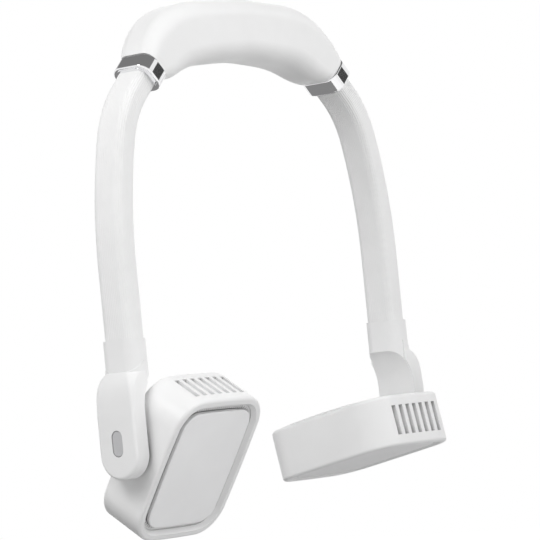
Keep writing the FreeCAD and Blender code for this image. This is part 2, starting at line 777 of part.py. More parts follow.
def build_button():
    face = sleeve_outer + sheet.cover_thick - sheet.button_recess
    inner = face - sheet.button_depth
    stop = sleeve_outer + sheet.cover_thick - sheet.cover_wall - sheet.slip_fit
    cap = button_bar(0, inner, face)
    front = [e for e in cap.Edges if e.BoundBox.XMin > face - sheet.seat_fit]
    cap = cap.makeFillet(sheet.button_recess, front)
    flange = button_bar(sheet.button_flange, stop - sheet.button_flange_thick, stop)
    keep_shape("power_button", mirrored(cap.fuse(flange).removeSplitter(), -1))

    half_wide = sheet.switch_board_width / 2
    half_long = sheet.switch_board_length / 2
    centre_z = pivot_z + sheet.button_rise + half_long - sheet.switch_side
    board_outer = sleeve_outer + sheet.axle_head_thick + sheet.switch_board_thick
    board = box_between(V(board_outer - sheet.switch_board_thick, -half_wide, centre_z - half_long),
                        V(board_outer, half_wide, centre_z + half_long))
    half = sheet.switch_side / 2
    button_z = pivot_z + sheet.button_rise
    switch = box_between(V(board_outer, -half, button_z - half),
                         V(inner - sheet.button_gap, half, button_z + half))
    feet = [Part.makeCylinder(sheet.post_radius, sheet.axle_head_thick,
                              V(sleeve_outer, y, centre_z + half_long - sheet.post_radius), X_AXIS)
            for y in (-half, half)]
    keep_shape("switch_board", mirrored(board.fuse([switch] + feet).removeSplitter(), -1))


# Tilt axle, friction washer, push nut and bush, all round bars along X
SLEEVE_OUTER = f"{RUN_X} + sleeve_width / 2"
ARM_FACE = f"{SLEEVE_OUTER} - arm_thick"
HUB_FACE = f"{ARM_FACE} - hub_length"
HEAD_OUTER = f"{HUB_FACE} - washer_thick - slip_fit"
BUSH_END = f"{HEAD_OUTER} - bush_length"
CLIP_SEAT = f"{BUSH_END} - slip_fit"
PIVOT_Z = "-sleeve_drop - pivot_drop"


def build_axle(side):
    name = side_name(side)
    place = {"drop": PIVOT_Z}
    pin = rod(side, f"{CLIP_SEAT} - clip_thick - seat_fit", SLEEVE_OUTER, "axle_radius", **place)
    head = rod(side, SLEEVE_OUTER, f"{SLEEVE_OUTER} + axle_head_thick", "axle_head_radius", **place)
    way = rod(side, f"{BUSH_END} - bush_length", f"{SLEEVE_OUTER} + bush_length", "axle_bore", **place)
    keep(f"{name}_axle", cut(fuse(pin, head), way))

    disc = rod(side, f"{HUB_FACE} - washer_thick", HUB_FACE, "washer_radius", **place)
    eye = rod(side, f"{HUB_FACE} - overrun", f"{HUB_FACE} + overrun", "axle_radius", **place)
    keep(f"{name}_washer", cut(disc, eye))

    nut = rod(side, f"{CLIP_SEAT} - clip_thick", CLIP_SEAT, "clip_radius", **place)
    bore = rod(side, f"{BUSH_END} - bush_length", f"{BUSH_END} + overrun", "axle_radius", **place)
    keep(f"{name}_axle_clip", cut(nut, bore))


# Head parts are drawn lying flat: X across, Y towards the air slots, Z towards the front
def head_placement(side):
    tilt = sheet.right_tilt if side > 0 else sheet.left_tilt
    turn = FreeCAD.Rotation(X_AXIS, 90 + tilt)
    centre = V((head_outer - sheet.head_width / 2) * side, 0, pivot_z)
    return FreeCAD.Placement(centre - turn.multVec(V(0, sheet.pivot_shift, -sheet.pivot_back)), turn)


def head_boss_places():
    """Where the four screws of the back panel stand, in from the head's sides and ends."""
    x = sheet.head_width / 2 - sheet.head_boss_side
    y = sheet.head_length / 2 - sheet.head_boss_end
    return [(-x, -y), (-x, y), (x, -y), (x, y)]


def build_housing(side, place):
    half = sheet.head_thick / 2
    body = head_slab(0, -half, half)
    body = body.makeFillet(sheet.head_front_round, near_level(body, half))
    body = body.makeFillet(sheet.head_back_round, near_level(body, -half))
    hollow = head_slab(sheet.head_wall, -half - sheet.overrun, half - sheet.rim_thick)
    inner = sheet.rim_width + sheet.rim_bevel
    rim_wires = [head_wire(sheet.rim_width, half), head_wire(inner, half - sheet.rim_thick)]
    mouth = Part.makeLoft(rim_wires, True, True)
    body = body.cut(hollow).cut(mouth)

    # A thicker grille behind the air slots, and four screw bosses
    wall_y = sheet.head_length / 2
    grille_x = sheet.slot_pitch * (SLOT_COUNT - 1) / 2 + sheet.slot_width / 2 + sheet.grille_margin
    grille_z = sheet.slot_length / 2 + sheet.grille_margin
    grille_y = wall_y - sheet.grille_thick
    grille = box_between(V(-grille_x, grille_y, -grille_z), V(grille_x, wall_y, grille_z))
    bosses = []
    holes = []
    low = -half + sheet.back_panel_thick
    for x, y in head_boss_places():
        bosses.append(Part.makeCylinder(sheet.boss_radius, sheet.head_boss_length, V(x, y, low)))
        holes.append(Part.makeCylinder(sheet.screw_radius, sheet.screw_grip, V(x, y, low)))
    inside = head_slab(sheet.head_wall / 2, -half, half)
    body = body.fuse([piece.common(inside) for piece in bosses + [grille]])
    slots = []
    for step in range(SLOT_COUNT):
        x = (step - (SLOT_COUNT - 1) / 2) * sheet.slot_pitch
        half_slot = sheet.slot_width / 2
        low = V(x - half_slot, grille_y - sheet.overrun, -sheet.slot_length / 2)
        slots.append(box_between(low, V(x + half_slot, wall_y + sheet.overrun, sheet.slot_length / 2)))
    wall_x = sheet.head_width / 2 - sheet.head_wall - sheet.overrun
    bush_foot = V(wall_x, sheet.pivot_shift, -sheet.pivot_back)
    bush_hole = Part.makeCylinder(sheet.bush_radius, sheet.bush_length, bush_foot, X_AXIS)
    body = body.cut(Part.makeCompound(slots + holes + [bush_hole])).removeSplitter()
    keep_shape(f"{side_name(side)}_housing", mirrored(body, side), place)


def fan_centre():
    return V(-sheet.fan_side, -sheet.fan_drop, 0)


def scroll_edges(grow, top):
    """The scroll's line: tongue, three growing quarter arcs and a straight outlet wall."""
    centre = fan_centre()
    step = sheet.scroll_step
    start = sheet.fan_radius + sheet.fan_gap
    tongue = math.radians(sheet.tongue_angle)

    def polar(middle, radius, angle):
        return middle + V(math.cos(angle), math.sin(angle), 0) * (radius + grow)

    turns = [
        (centre, start, tongue, math.pi),
        (centre + V(step, 0, 0), start + step, math.pi, 1.5 * math.pi),
        (centre + V(step, step, 0), start + 2 * step, 1.5 * math.pi, 2 * math.pi),
    ]
    left = V(-sheet.duct_half_width - grow, top, 0)
    edges = [Part.makeLine(left, polar(centre, start, tongue))]
    for middle, radius, low, high in turns:
        points = [polar(middle, radius, angle) for angle in (low, (low + high) / 2, high)]
        edges.append(Part.Arc(*points).toShape())
    last = edges[-1].lastVertex().Point
    edges.append(Part.makeLine(last, V(last.x, last.y + sheet.fan_drop, 0)))
    knee = edges[-1].lastVertex().Point
    edges.append(Part.makeLine(knee, V(sheet.duct_half_width + grow, top, 0)))
    return edges


def build_volute(side, place):
    low = -sheet.head_thick / 2 + sheet.back_panel_thick
    top = sheet.head_length / 2 - sheet.grille_thick - sheet.slip_fit
    inner = scroll_edges(0, top)
    outer = scroll_edges(sheet.scroll_wall, top)
    ends = [Part.makeLine(inner[0].firstVertex().Point, outer[0].firstVertex().Point),
            Part.makeLine(inner[-1].lastVertex().Point, outer[-1].lastVertex().Point)]
    ring = Part.Face(Part.Wire(Part.__sortEdges__(inner + outer + ends)))
    wall = ring.extrude(V(0, 0, sheet.scroll_height)).translated(V(0, 0, low))
    lid_edge = Part.makeLine(outer[-1].lastVertex().Point, outer[0].firstVertex().Point)
    lid = Part.Face(Part.Wire(Part.__sortEdges__(outer + [lid_edge])))
    deck = lid.extrude(V(0, 0, sheet.deck_thick)).translated(V(0, 0, low + sheet.scroll_height))
    eye_radius = sheet.fan_radius - sheet.fan_gap * 2
    eye = Part.makeCylinder(eye_radius, sheet.head_thick, fan_centre() + V(0, 0, low))
    volute = wall.fuse(deck).cut(eye).removeSplitter()
    keep_shape(f"{side_name(side)}_volute", mirrored(volute, side), place)


def build_panels(side, place):
    name = side_name(side)
    half = sheet.head_thick / 2
    inset = sheet.rim_width + sheet.rim_bevel + sheet.groove_width
    top = half - sheet.panel_recess
    panel = head_slab(inset, top - sheet.panel_thick, top)
    panel = panel.makeFillet(sheet.panel_crown, near_level(panel, top))
    deck = -half + sheet.back_panel_thick + sheet.scroll_height + sheet.deck_thick
    posts = []
    for angle in PANEL_POST_ANGLES:
        reach = FreeCAD.Rotation(Z_AXIS, angle).multVec(X_AXIS * sheet.panel_post_reach)
        foot = fan_centre() + reach + V(0, 0, deck)
        posts.append(Part.makeCylinder(sheet.panel_post_radius, top - sheet.panel_thick - deck, foot))
    keep_shape(f"{name}_front_panel", mirrored(panel.fuse(posts).removeSplitter(), side), place)

    # A crowned back panel with wells for its screws
    crown = sheet.back_panel_crown
    back = -half - crown
    radius = sagitta_radius(sheet.head_length / 2, crown)
    dome = Part.makeSphere(radius, V(0, 0, radius + back))
    plate = head_slab(sheet.head_wall + sheet.slip_fit, back, -half + sheet.back_panel_thick).common(dome)
    holes = []
    for x, y in head_boss_places():
        holes.append(Part.makeCylinder(sheet.screw_radius, sheet.screw_grip, V(x, y, -half)))
        well = Part.makeCylinder(sheet.screw_head_radius, crown + sheet.screw_head_thick, V(x, y, back))
        holes.append(well)
    keep_shape(f"{name}_back_panel", mirrored(plate.cut(Part.makeCompound(holes)), side), place)


def build_head_screws(side, place):
    """Four screws through the back panel, bound to the sheet in the head's own frame."""
    floor = "-head_thick / 2"
    screws = []
    for sx in (-1, 1):
        for sy in (-1, 1):
            x = f"(head_width / 2 - head_boss_side) * {sx}"
            y = f"(head_length / 2 - head_boss_end) * {sy}"
            head = upright("screw_head_radius", floor, f"{floor} + screw_head_thick", x, y)
            shank = upright("screw_radius", floor, f"{floor} + screw_grip", x, y)
            screws.append(fuse(head, shank))
    keep(f"{side_name(side)}_head_screws", group(*screws), place)


def build_bush(side, place):
    """Flanged bush in the housing's wall, bound to the sheet in the head's own frame."""
    wall = "head_width / 2"
    level = {"drop": "-pivot_back", "across": "pivot_shift"}
    barrel = rod(side, f"{wall} - bush_length", f"{wall} - seat_fit", "bush_radius", **level)
    seat = f"{wall} - head_wall - seat_fit"
    flange = rod(side, f"{seat} - bush_flange_thick", seat, "bush_flange_radius", **level)
    bore = "axle_radius + seat_fit"
    way = rod(side, f"{wall} - bush_length - overrun", f"{wall} + overrun", bore, **level)
    keep(f"{side_name(side)}_bush", cut(fuse(barrel, flange), way), place)


# Motor and impeller, on the fan's own axis
def build_motor(side, place):
    name = side_name(side)
    x = f"-fan_side * {side}"
    y = "-fan_drop"
    floor = "back_panel_thick - head_thick / 2"
    flange = upright("stator_flange_radius", floor, f"{floor} + stator_flange_thick", x, y)
    top = f"{floor} + stator_flange_thick + stator_height"
    core = upright("stator_radius", f"{floor} + stator_flange_thick", top, x, y)
    way = upright("shaft_radius + seat_fit", f"{floor} + shaft_end_gap", f"{top} + overrun", x, y)
    keep(f"{name}_stator", cut(fuse(flange, core), way), place)
    foot = f"{floor} + 2 * shaft_end_gap"
    cup_top = f"{floor} + stator_flange_thick + fan_lift + cup_height"
    keep(f"{name}_motor_shaft", group(upright("shaft_radius", foot, cup_top, x, y)), place)


def build_impeller(side, place):
    """A cup, a disc and forward-curved blades, each blade between two arcs."""
    floor = -sheet.head_thick / 2 + sheet.back_panel_thick + sheet.stator_flange_thick + sheet.fan_lift
    centre = fan_centre() + V(0, 0, floor)
    inner = sheet.cup_radius - sheet.cup_wall
    lid = sheet.cup_height - sheet.cup_wall
    profile = [(inner, 0), (sheet.fan_radius, 0), (sheet.fan_radius, sheet.disc_thick),
               (sheet.cup_radius, sheet.disc_thick), (sheet.cup_radius, sheet.cup_height),
               (sheet.shaft_radius, sheet.cup_height), (sheet.shaft_radius, lid), (inner, lid)]
    points = [V(r, 0, z) for r, z in profile]
    wheel = Part.Face(Part.makePolygon(points + points[:1])).revolve(V(), Z_AXIS, 360)
    sweep = math.radians(sheet.blade_sweep)

    def blade_arc(lag):
        mid_radius = (sheet.fan_eye + sheet.fan_radius) / 2
        return [V(r * math.cos(t - lag / r), r * math.sin(t - lag / r), sheet.disc_thick)
                for r, t in ((sheet.fan_eye, 0), (mid_radius, sweep / 4), (sheet.fan_radius, sweep))]

    lead = blade_arc(0)
    trail = blade_arc(sheet.blade_thick)
    outline = Part.Wire([
        Part.Arc(*lead).toShape(),
        Part.makeLine(lead[2], trail[2]),
        Part.Arc(*trail[::-1]).toShape(),
        Part.makeLine(trail[0], lead[0]),
    ])
    blade = Part.Face(outline).extrude(V(0, 0, sheet.blade_height))
    blades = [blade.rotated(V(), Z_AXIS, 360 * step / BLADE_COUNT) for step in range(BLADE_COUNT)]
    wheel = wheel.fuse(blades).removeSplitter().translated(centre)
    keep_shape(f"{side_name(side)}_impeller", mirrored(wheel, side), place)


def build_head(side):
    place = head_placement(side)
    build_housing(side, place)
    build_volute(side, place)
    build_panels(side, place)
    build_head_screws(side, place)
    build_bush(side, place)
    build_motor(side, place)
    build_impeller(side, place)


build_crescent()
for hand in (-1, 1):
    build_arm(hand)
    build_bracket(hand)
    build_axle(hand)
    build_head(hand)
build_button()
doc.recompute()

# Nothing is written unless every object and every sub-part is sound
for obj in doc.Objects:
    if {"Invalid", "Error"} & set(obj.State):
        raise RuntimeError(f"{obj.Label} did not build: {obj.State}")
for name, obj in nodes.items():
    if obj.Shape.isNull() or not obj.Shape.isValid() or not obj.Shape.Solids:
        raise RuntimeError(f"{name} is not a sound solid")
os.makedirs("parts", exist_ok=True)
for name, obj in nodes.items():
    obj.Shape.exportStep(f"parts/{name}.step")
    print(f"{name}: {len(obj.Shape.Solids)} solids, {obj.Shape.Volume:.0f} mm3")
print(f"{len(nodes)} sub-parts")
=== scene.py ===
# %% [markdown]
# # Electric neck fan
# A crescent lies on the back of the neck, two bendable arms come forward over the collar bones and
# a small blower head hangs from each. The moving frame is already built at its real size, so this
# lesson only dresses it: camera and light first, then one finish or one piece at a time.

# %% Load the frame and keep its box
import json
import math

import bpy
from mathutils import Matrix, Vector
from mathutils.geometry import convex_hull_2d


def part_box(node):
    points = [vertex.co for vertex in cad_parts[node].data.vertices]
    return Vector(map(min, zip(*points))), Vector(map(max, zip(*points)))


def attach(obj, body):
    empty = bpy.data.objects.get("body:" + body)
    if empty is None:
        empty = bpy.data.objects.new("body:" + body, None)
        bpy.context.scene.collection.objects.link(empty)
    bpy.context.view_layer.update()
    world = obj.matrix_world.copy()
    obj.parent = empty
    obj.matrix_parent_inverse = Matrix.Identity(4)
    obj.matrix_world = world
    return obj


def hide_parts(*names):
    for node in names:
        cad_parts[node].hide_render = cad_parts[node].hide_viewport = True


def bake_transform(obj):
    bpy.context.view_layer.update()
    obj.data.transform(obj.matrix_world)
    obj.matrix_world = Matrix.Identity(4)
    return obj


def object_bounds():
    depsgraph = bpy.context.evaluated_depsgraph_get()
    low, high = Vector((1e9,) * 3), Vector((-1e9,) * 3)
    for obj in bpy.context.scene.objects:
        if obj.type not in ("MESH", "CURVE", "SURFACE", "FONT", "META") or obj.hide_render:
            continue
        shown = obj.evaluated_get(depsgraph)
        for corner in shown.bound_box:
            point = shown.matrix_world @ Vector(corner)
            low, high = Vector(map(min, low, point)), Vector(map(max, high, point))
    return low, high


MM = 0.001
SIDES = {"left": -1, "right": 1}
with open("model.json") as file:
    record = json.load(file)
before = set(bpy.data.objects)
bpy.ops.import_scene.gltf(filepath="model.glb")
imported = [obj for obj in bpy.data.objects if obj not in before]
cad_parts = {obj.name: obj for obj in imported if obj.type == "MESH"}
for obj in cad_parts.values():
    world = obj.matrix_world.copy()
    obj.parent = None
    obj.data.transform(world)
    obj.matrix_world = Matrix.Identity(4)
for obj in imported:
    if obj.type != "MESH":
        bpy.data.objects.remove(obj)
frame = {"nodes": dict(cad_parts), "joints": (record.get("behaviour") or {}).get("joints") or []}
nodes = frame["nodes"]
joints = {joint["name"]: joint for joint in frame["joints"]}
cad_low, cad_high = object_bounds()
cad_size = cad_high - cad_low
print("frame of", len(nodes), "nodes,", [round(side / MM, 1) for side in cad_size], "mm")

# %% [markdown]
# ## Camera
# The picture is a product shot with a long lens, taken from the wearer's right and almost level.
# A camera can be aimed with a Track To constraint, but that always keeps the horizon straight, and
# this shot leans a little. So the camera's three axes are worked out from a turn, a rise and a
# roll, and written straight into its matrix.

# %% Aim the camera
CAMERA_TURN = math.radians(51.0)
CAMERA_RISE = math.radians(-2.3)
CAMERA_ROLL = math.radians(-5.72)
CAMERA_DISTANCE = 1700 * MM
CAMERA_NEAR = CAMERA_DISTANCE / 20
CAMERA_SENSOR = 36
CAMERA_LENS = 226.7
CAMERA_TARGET = Vector((11.7, 0, -104.9)) * MM


def camera_matrix():
    """The camera's place and axes as one matrix."""
    flat = math.cos(CAMERA_RISE)
    back = Vector((-math.sin(CAMERA_TURN) * flat, -math.cos(CAMERA_TURN) * flat,
                   math.sin(CAMERA_RISE)))
    level = Vector((math.cos(CAMERA_TURN), -math.sin(CAMERA_TURN), 0))
    upright = back.cross(level)
    right = level * math.cos(CAMERA_ROLL) + upright * math.sin(CAMERA_ROLL)
    up = back.cross(right)
    place = CAMERA_TARGET + back * CAMERA_DISTANCE
    axes = Matrix((right, up, back)).transposed()
    return Matrix.Translation(place) @ axes.to_4x4()


camera_data = bpy.data.cameras.new("camera")
camera_data.sensor_width = CAMERA_SENSOR
camera_data.lens = CAMERA_LENS
camera_data.clip_start = CAMERA_NEAR
camera = bpy.data.objects.new("camera", camera_data)
bpy.context.scene.collection.objects.link(camera)
camera.matrix_world = camera_matrix()
bpy.context.scene.camera = camera
bpy.context.scene.view_settings.view_transform = "Standard"
print("camera at", [round(value / MM) for value in camera.location], "mm")

# %% [markdown]
# ## Backdrop
# A white studio can be built as a curved sweep of paper. Here the world itself is the white wall:
# camera and mirror rays see plain white, while all other rays get a calmer, even light, so the
# whiteness of the picture never comes from more light on the object.

# %% Paint the world
AMBIENT = 0.1
WHITE = (1, 1, 1, 1)


def seen_ray(tree):
    """One for rays that show the backdrop: camera, mirror and glass rays."""
    path = tree.nodes.new("ShaderNodeLightPath")
    seen = path.outputs["Is Camera Ray"]
    for other in ("Is Glossy Ray", "Is Transmission Ray"):
        larger = tree.nodes.new("ShaderNodeMath")
        larger.operation = "MAXIMUM"
        tree.links.new(seen, larger.inputs[0])
        tree.links.new(path.outputs[other], larger.inputs[1])
        seen = larger.outputs[0]
    return seen


def paint_world():
    world = bpy.data.worlds.new("white_studio")
    bpy.context.scene.world = world
    world.use_nodes = True
    tree = world.node_tree
    tree.nodes.clear()
    out = tree.nodes.new("ShaderNodeOutputWorld")
    mix = tree.nodes.new("ShaderNodeMixShader")
    lamp = tree.nodes.new("ShaderNodeBackground")
    lamp.inputs["Strength"].default_value = AMBIENT
    wall = tree.nodes.new("ShaderNodeBackground")
    for shade in (lamp, wall):
        shade.inputs["Color"].default_value = WHITE
    tree.links.new(seen_ray(tree), mix.inputs["Fac"])
    tree.links.new(lamp.outputs[0], mix.inputs[1])
    tree.links.new(wall.outputs[0], mix.inputs[2])
    tree.links.new(mix.outputs[0], out.inputs["Surface"])


paint_world()
print("world lights at", AMBIENT)

# %% [markdown]
# ## Floor
# The fan is worn, so it doesn't stand: the floor lies well below it and catches a soft shadow. A
# plain diffuse sheet would look grey beside the white wall. So the rays that show the backdrop add
# a glow to the paper, weaker below the fan and full far away, where the sheet meets the wall.

# %% Mix the floor's paper
FLOOR_PAPER = (0.47, 0.47, 0.47, 1)
FLOOR_GLOW = (0.72, 1.0)
FLOOR_FADE = (0.5, 2.0)


def floor_material():
    material = bpy.data.materials.new("floor_paper")
    material.use_nodes = True
    tree = material.node_tree
    tree.nodes.clear()
    out = tree.nodes.new("ShaderNodeOutputMaterial")
    mix = tree.nodes.new("ShaderNodeMixShader")
    paper = tree.nodes.new("ShaderNodeBsdfDiffuse")
    paper.inputs["Color"].default_value = FLOOR_PAPER
    glow = tree.nodes.new("ShaderNodeEmission")
    place = tree.nodes.new("ShaderNodeTexCoord")
    distance = tree.nodes.new("ShaderNodeVectorMath")
    distance.operation = "LENGTH"
    fade = tree.nodes.new("ShaderNodeMapRange")
    fade.inputs["From Min"].default_value = FLOOR_FADE[0]
    fade.inputs["From Max"].default_value = FLOOR_FADE[1]
    fade.inputs["To Min"].default_value = FLOOR_GLOW[0]
    fade.inputs["To Max"].default_value = FLOOR_GLOW[1]
    tree.links.new(place.outputs["Object"], distance.inputs[0])
    tree.links.new(distance.outputs["Value"], fade.inputs["Value"])
    tree.links.new(fade.outputs["Result"], glow.inputs["Strength"])
    lit = tree.nodes.new("ShaderNodeAddShader")
    tree.links.new(paper.outputs[0], lit.inputs[0])
    tree.links.new(glow.outputs[0], lit.inputs[1])
    tree.links.new(seen_ray(tree), mix.inputs["Fac"])
    tree.links.new(paper.outputs[0], mix.inputs[1])
    tree.links.new(lit.outputs[0], mix.inputs[2])
    tree.links.new(mix.outputs[0], out.inputs["Surface"])
    return material


floor_paper = floor_material()
print("floor finish:", floor_paper.name)

# %% [markdown]
# Floor and cards are single flat faces. Four corners and one face are quicker to read than a plane
# that is added, turned and scaled.

# %% Lay the floor
FLOOR_DROP = 220 * MM
FLOOR_REACH = 4.0


def flat_card(name, corners, material):
    mesh = bpy.data.meshes.new(name)
    mesh.from_pydata([tuple(corner) for corner in corners], [], [(0, 1, 2, 3)])
    mesh.materials.append(material)
    card = bpy.data.objects.new(name, mesh)
    bpy.context.scene.collection.objects.link(card)
    return card


floor_height = cad_low.z - FLOOR_DROP
floor_corners = [Vector((x * FLOOR_REACH, y * FLOOR_REACH, floor_height))
                 for x, y in ((-1, -1), (1, -1), (1, 1), (-1, 1))]
flat_card("floor", floor_corners, floor_paper)
print("floor at", round(floor_height / MM), "mm")

# %% [markdown]
# ## Light
# White plastic only shows its form through soft shade. A broad lamp high on the picture's left
# lights the faces that look there, and a small near one beside it draws the soft highlights and the
# shadow under the bracket. Broad lamps on the right, on the left and behind round off the arms, and
# two weak ones lift the crescent and the faces that look down. Area lamps are used, because their
# size sets how soft a shadow's edge is. Places are counted from the middle of the fan, in metres to
# the picture's right, up, and towards the camera.

# %% Hang the lamps
LAMPS = {
    "wall": {"right": -0.45, "up": 0.63, "front": 0.78, "size": 0.7, "power": 5.0},
    "key": {"right": -0.37, "up": 0.37, "front": 0.32, "size": 0.2, "power": 0.6},
    "side": {"right": 1.08, "up": 0.19, "front": 0.0, "size": 0.7, "power": 2.9},
    "high": {"right": 0.78, "up": 0.78, "front": 0.0, "size": 0.7, "power": 3.8},
    "left": {"right": -0.9, "up": 0.63, "front": 0.0, "size": 0.7, "power": 1.8},
    "crown": {"right": 0.2, "up": 0.33, "front": 0.22, "size": 0.3, "power": 0.38},
    "low": {"right": 0.1, "up": -0.15, "front": 0.45, "size": 0.3, "power": 0.6},
    "back": {"right": 0.0, "up": 0.6, "front": -0.9, "size": 0.7, "power": 4.0},
}
PICTURE_RIGHT = Vector((math.cos(CAMERA_TURN), -math.sin(CAMERA_TURN), 0))
PICTURE_FRONT = Vector((-math.sin(CAMERA_TURN), -math.cos(CAMERA_TURN), 0))


def studio_place(right, up, front):
    return CAMERA_TARGET + PICTURE_RIGHT * right + PICTURE_FRONT * front + Vector((0, 0, up))


def hang_lamp(name, right, up, front, size, power):
    place = studio_place(right, up, front)
    data = bpy.data.lights.new(name, "AREA")
    data.shape = "DISK"
    data.size = size
    data.energy = power
    lamp = bpy.data.objects.new(name, data)
    bpy.context.scene.collection.objects.link(lamp)
    lamp.location = place
    lamp.rotation_mode = "QUATERNION"
    lamp.rotation_quaternion = (CAMERA_TARGET - place).to_track_quat("-Z", "Y")
    lamp.visible_glossy = name == "key"
    lamp.visible_camera = False


for lamp_name, setting in LAMPS.items():
    hang_lamp(lamp_name, **setting)
print("lamps:", ", ".join(LAMPS))

# %% [markdown]
# ## Cards for the metal to mirror
# Polished metal shows nothing of its own, only its surroundings, and in a plain white studio it
# would vanish. Photographers stand grey and black cards round such a piece. These do the same: only
# mirror rays meet them, so they shade no plastic and no floor.

# %% Set up the cards
CARDS = {
    "card_above": {"right": 0.0, "up": 1.5, "front": -0.2,
                   "wide": 4.6, "deep": 4.0, "shade": 0.22},
    "card_below": {"right": -0.3, "up": -0.33, "front": -0.25,
                   "wide": 0.9, "deep": 0.9, "shade": 0.27},
    "card_beside": {"right": 1.0, "up": 0.13, "front": -0.18,
                    "tall": 0.36, "deep": 0.27, "shade": 0.07},
}


def card_material(name, shade):
    material = bpy.data.materials.new(name)
    material.use_nodes = True
    tree = material.node_tree
    tree.nodes.clear()
    out = tree.nodes.new("ShaderNodeOutputMaterial")
    paint = tree.nodes.new("ShaderNodeEmission")
    paint.inputs["Color"].default_value = (shade, shade, shade, 1)
    tree.links.new(paint.outputs[0], out.inputs["Surface"])
    return material


def set_card(name, right, up, front, deep, shade, wide=0.0, tall=0.0):
    middle = studio_place(right, up, front)
    across = PICTURE_RIGHT * (wide / 2) + Vector((0, 0, tall / 2))
    along = PICTURE_FRONT * (deep / 2)
    corners = [middle + across * x + along * y for x, y in ((-1, -1), (1, -1), (1, 1), (-1, 1))]
    card = flat_card(name, corners, card_material(name, shade))
    card.visible_camera = False
    card.visible_diffuse = False
    card.visible_transmission = False
    card.visible_shadow = False


for card_name, setting in CARDS.items():
    set_card(card_name, **setting)
print("cards:", ", ".join(CARDS))

# %% [markdown]
# ## Moulded white plastic
# The shells are injection moulded in white plastic with a satin skin. A flat white would look like
# paper, so noise in the object's own coordinates gives a faint cloudiness, a gloss that wanders a
# little, and a mould texture so fine that it only softens the highlights. Every finish starts from
# the same two pieces: a plain shader, and a noise stretched between two values.

# %% Start a finish
NOISE_SPAN = (0.3, 0.7)


def start_material(name, colour, metallic=0.0):
    material = bpy.data.materials.new(name)
    material.use_nodes = True
    shader = material.node_tree.nodes["Principled BSDF"]
    shader.inputs["Base Color"].default_value = (*colour, 1)
    shader.inputs["Metallic"].default_value = metallic
    return material, material.node_tree, shader


def object_noise(tree, scale, detail=2.0):
    place = tree.nodes.new("ShaderNodeTexCoord")
    noise = tree.nodes.new("ShaderNodeTexNoise")
    noise.inputs["Scale"].default_value = scale
    noise.inputs["Detail"].default_value = detail
    tree.links.new(place.outputs["Object"], noise.inputs["Vector"])
    return noise.outputs["Fac"]


def spread(tree, source, low, high):
    """Stretch a noise to run between two values."""
    stretch = tree.nodes.new("ShaderNodeMapRange")
    stretch.inputs["From Min"].default_value = NOISE_SPAN[0]
    stretch.inputs["From Max"].default_value = NOISE_SPAN[1]
    stretch.inputs["To Min"].default_value = low
    stretch.inputs["To Max"].default_value = high
    tree.links.new(source, stretch.inputs["Value"])
    return stretch.outputs["Result"]


print("noise is stretched from", NOISE_SPAN)

# %% [markdown]
# Three touches go on the skin: a colour that drifts and a grain make it look moulded, and shade is
# painted into the creases. Where two faces meet in a seam or a slot, an ambient occlusion node finds
# the place by how soon a ray meets another face, and the colour there is multiplied down.

# %% Tint, grain and painted crease shade
COLOUR_A = 6
COLOUR_B = 7
COLOUR_OUT = 2
CREASE_SPAN = (0.15, 0.6)
CREASE_SAMPLES = 8


def cloud_colour(tree, shader, colour, change, scale):
    """Let a colour drift a little from place to place."""
    mix = tree.nodes.new("ShaderNodeMix")
    mix.data_type = "RGBA"
    mix.inputs[COLOUR_A].default_value = (*[part * (1 - change) for part in colour], 1)
    mix.inputs[COLOUR_B].default_value = (*[min(1, part * (1 + change)) for part in colour], 1)
    tree.links.new(spread(tree, object_noise(tree, scale), 0, 1), mix.inputs[0])
    tree.links.new(mix.outputs[COLOUR_OUT], shader.inputs["Base Color"])


def fine_bump(tree, shader, source, height, strength):
    bump = tree.nodes.new("ShaderNodeBump")
    bump.inputs["Distance"].default_value = height
    bump.inputs["Strength"].default_value = strength
    tree.links.new(source, bump.inputs["Height"])
    tree.links.new(bump.outputs["Normal"], shader.inputs["Normal"])


def crease_shade(tree, shader, reach, darkest):
    """Paint shade into the colour where two faces meet closer than the reach."""
    corner = tree.nodes.new("ShaderNodeAmbientOcclusion")
    corner.samples = CREASE_SAMPLES
    corner.inputs["Distance"].default_value = reach
    shade = tree.nodes.new("ShaderNodeMapRange")
    shade.inputs["From Min"].default_value = CREASE_SPAN[0]
    shade.inputs["From Max"].default_value = CREASE_SPAN[1]
    shade.inputs["To Min"].default_value = darkest
    mix = tree.nodes.new("ShaderNodeMix")
    mix.data_type = "RGBA"
    mix.blend_type = "MULTIPLY"
    mix.inputs[0].default_value = 1
    colour_link = shader.inputs["Base Color"].links[0]
    tree.links.new(colour_link.from_socket, mix.inputs[COLOUR_A])
    tree.links.new(corner.outputs["AO"], shade.inputs["Value"])
    tree.links.new(shade.outputs["Result"], mix.inputs[COLOUR_B])
    tree.links.new(mix.outputs[COLOUR_OUT], shader.inputs["Base Color"])


print("creases darken between", CREASE_SPAN)

# %% [markdown]
# The plastics differ only in colour and gloss, so one function mixes them all. The painted crease
# shade reaches a little more than a slot's width, so that the slots look deep.

# %% Mix the plastics
CLOUD_CHANGE = 0.012
CLOUD_SCALE = 60
CREASE_REACH = 4.5 * MM
CREASE_DARKEST = 0.5
GLOSS_SCALE = 220
GRAIN_SCALE = 2600
GRAIN_DETAIL = 1
GRAIN_HEIGHT = 0.04 * MM


def moulded_plastic(name, colour, gloss_low, gloss_high, grain=0.06):
    material, tree, shader = start_material(name, colour)
    cloud_colour(tree, shader, colour, CLOUD_CHANGE, CLOUD_SCALE)
    # paint shade into seams, slots and corners
    crease_shade(tree, shader, CREASE_REACH, CREASE_DARKEST)
    rough = spread(tree, object_noise(tree, GLOSS_SCALE), gloss_low, gloss_high)
    tree.links.new(rough, shader.inputs["Roughness"])
    fine_bump(tree, shader, object_noise(tree, GRAIN_SCALE, GRAIN_DETAIL), GRAIN_HEIGHT, grain)
    return material


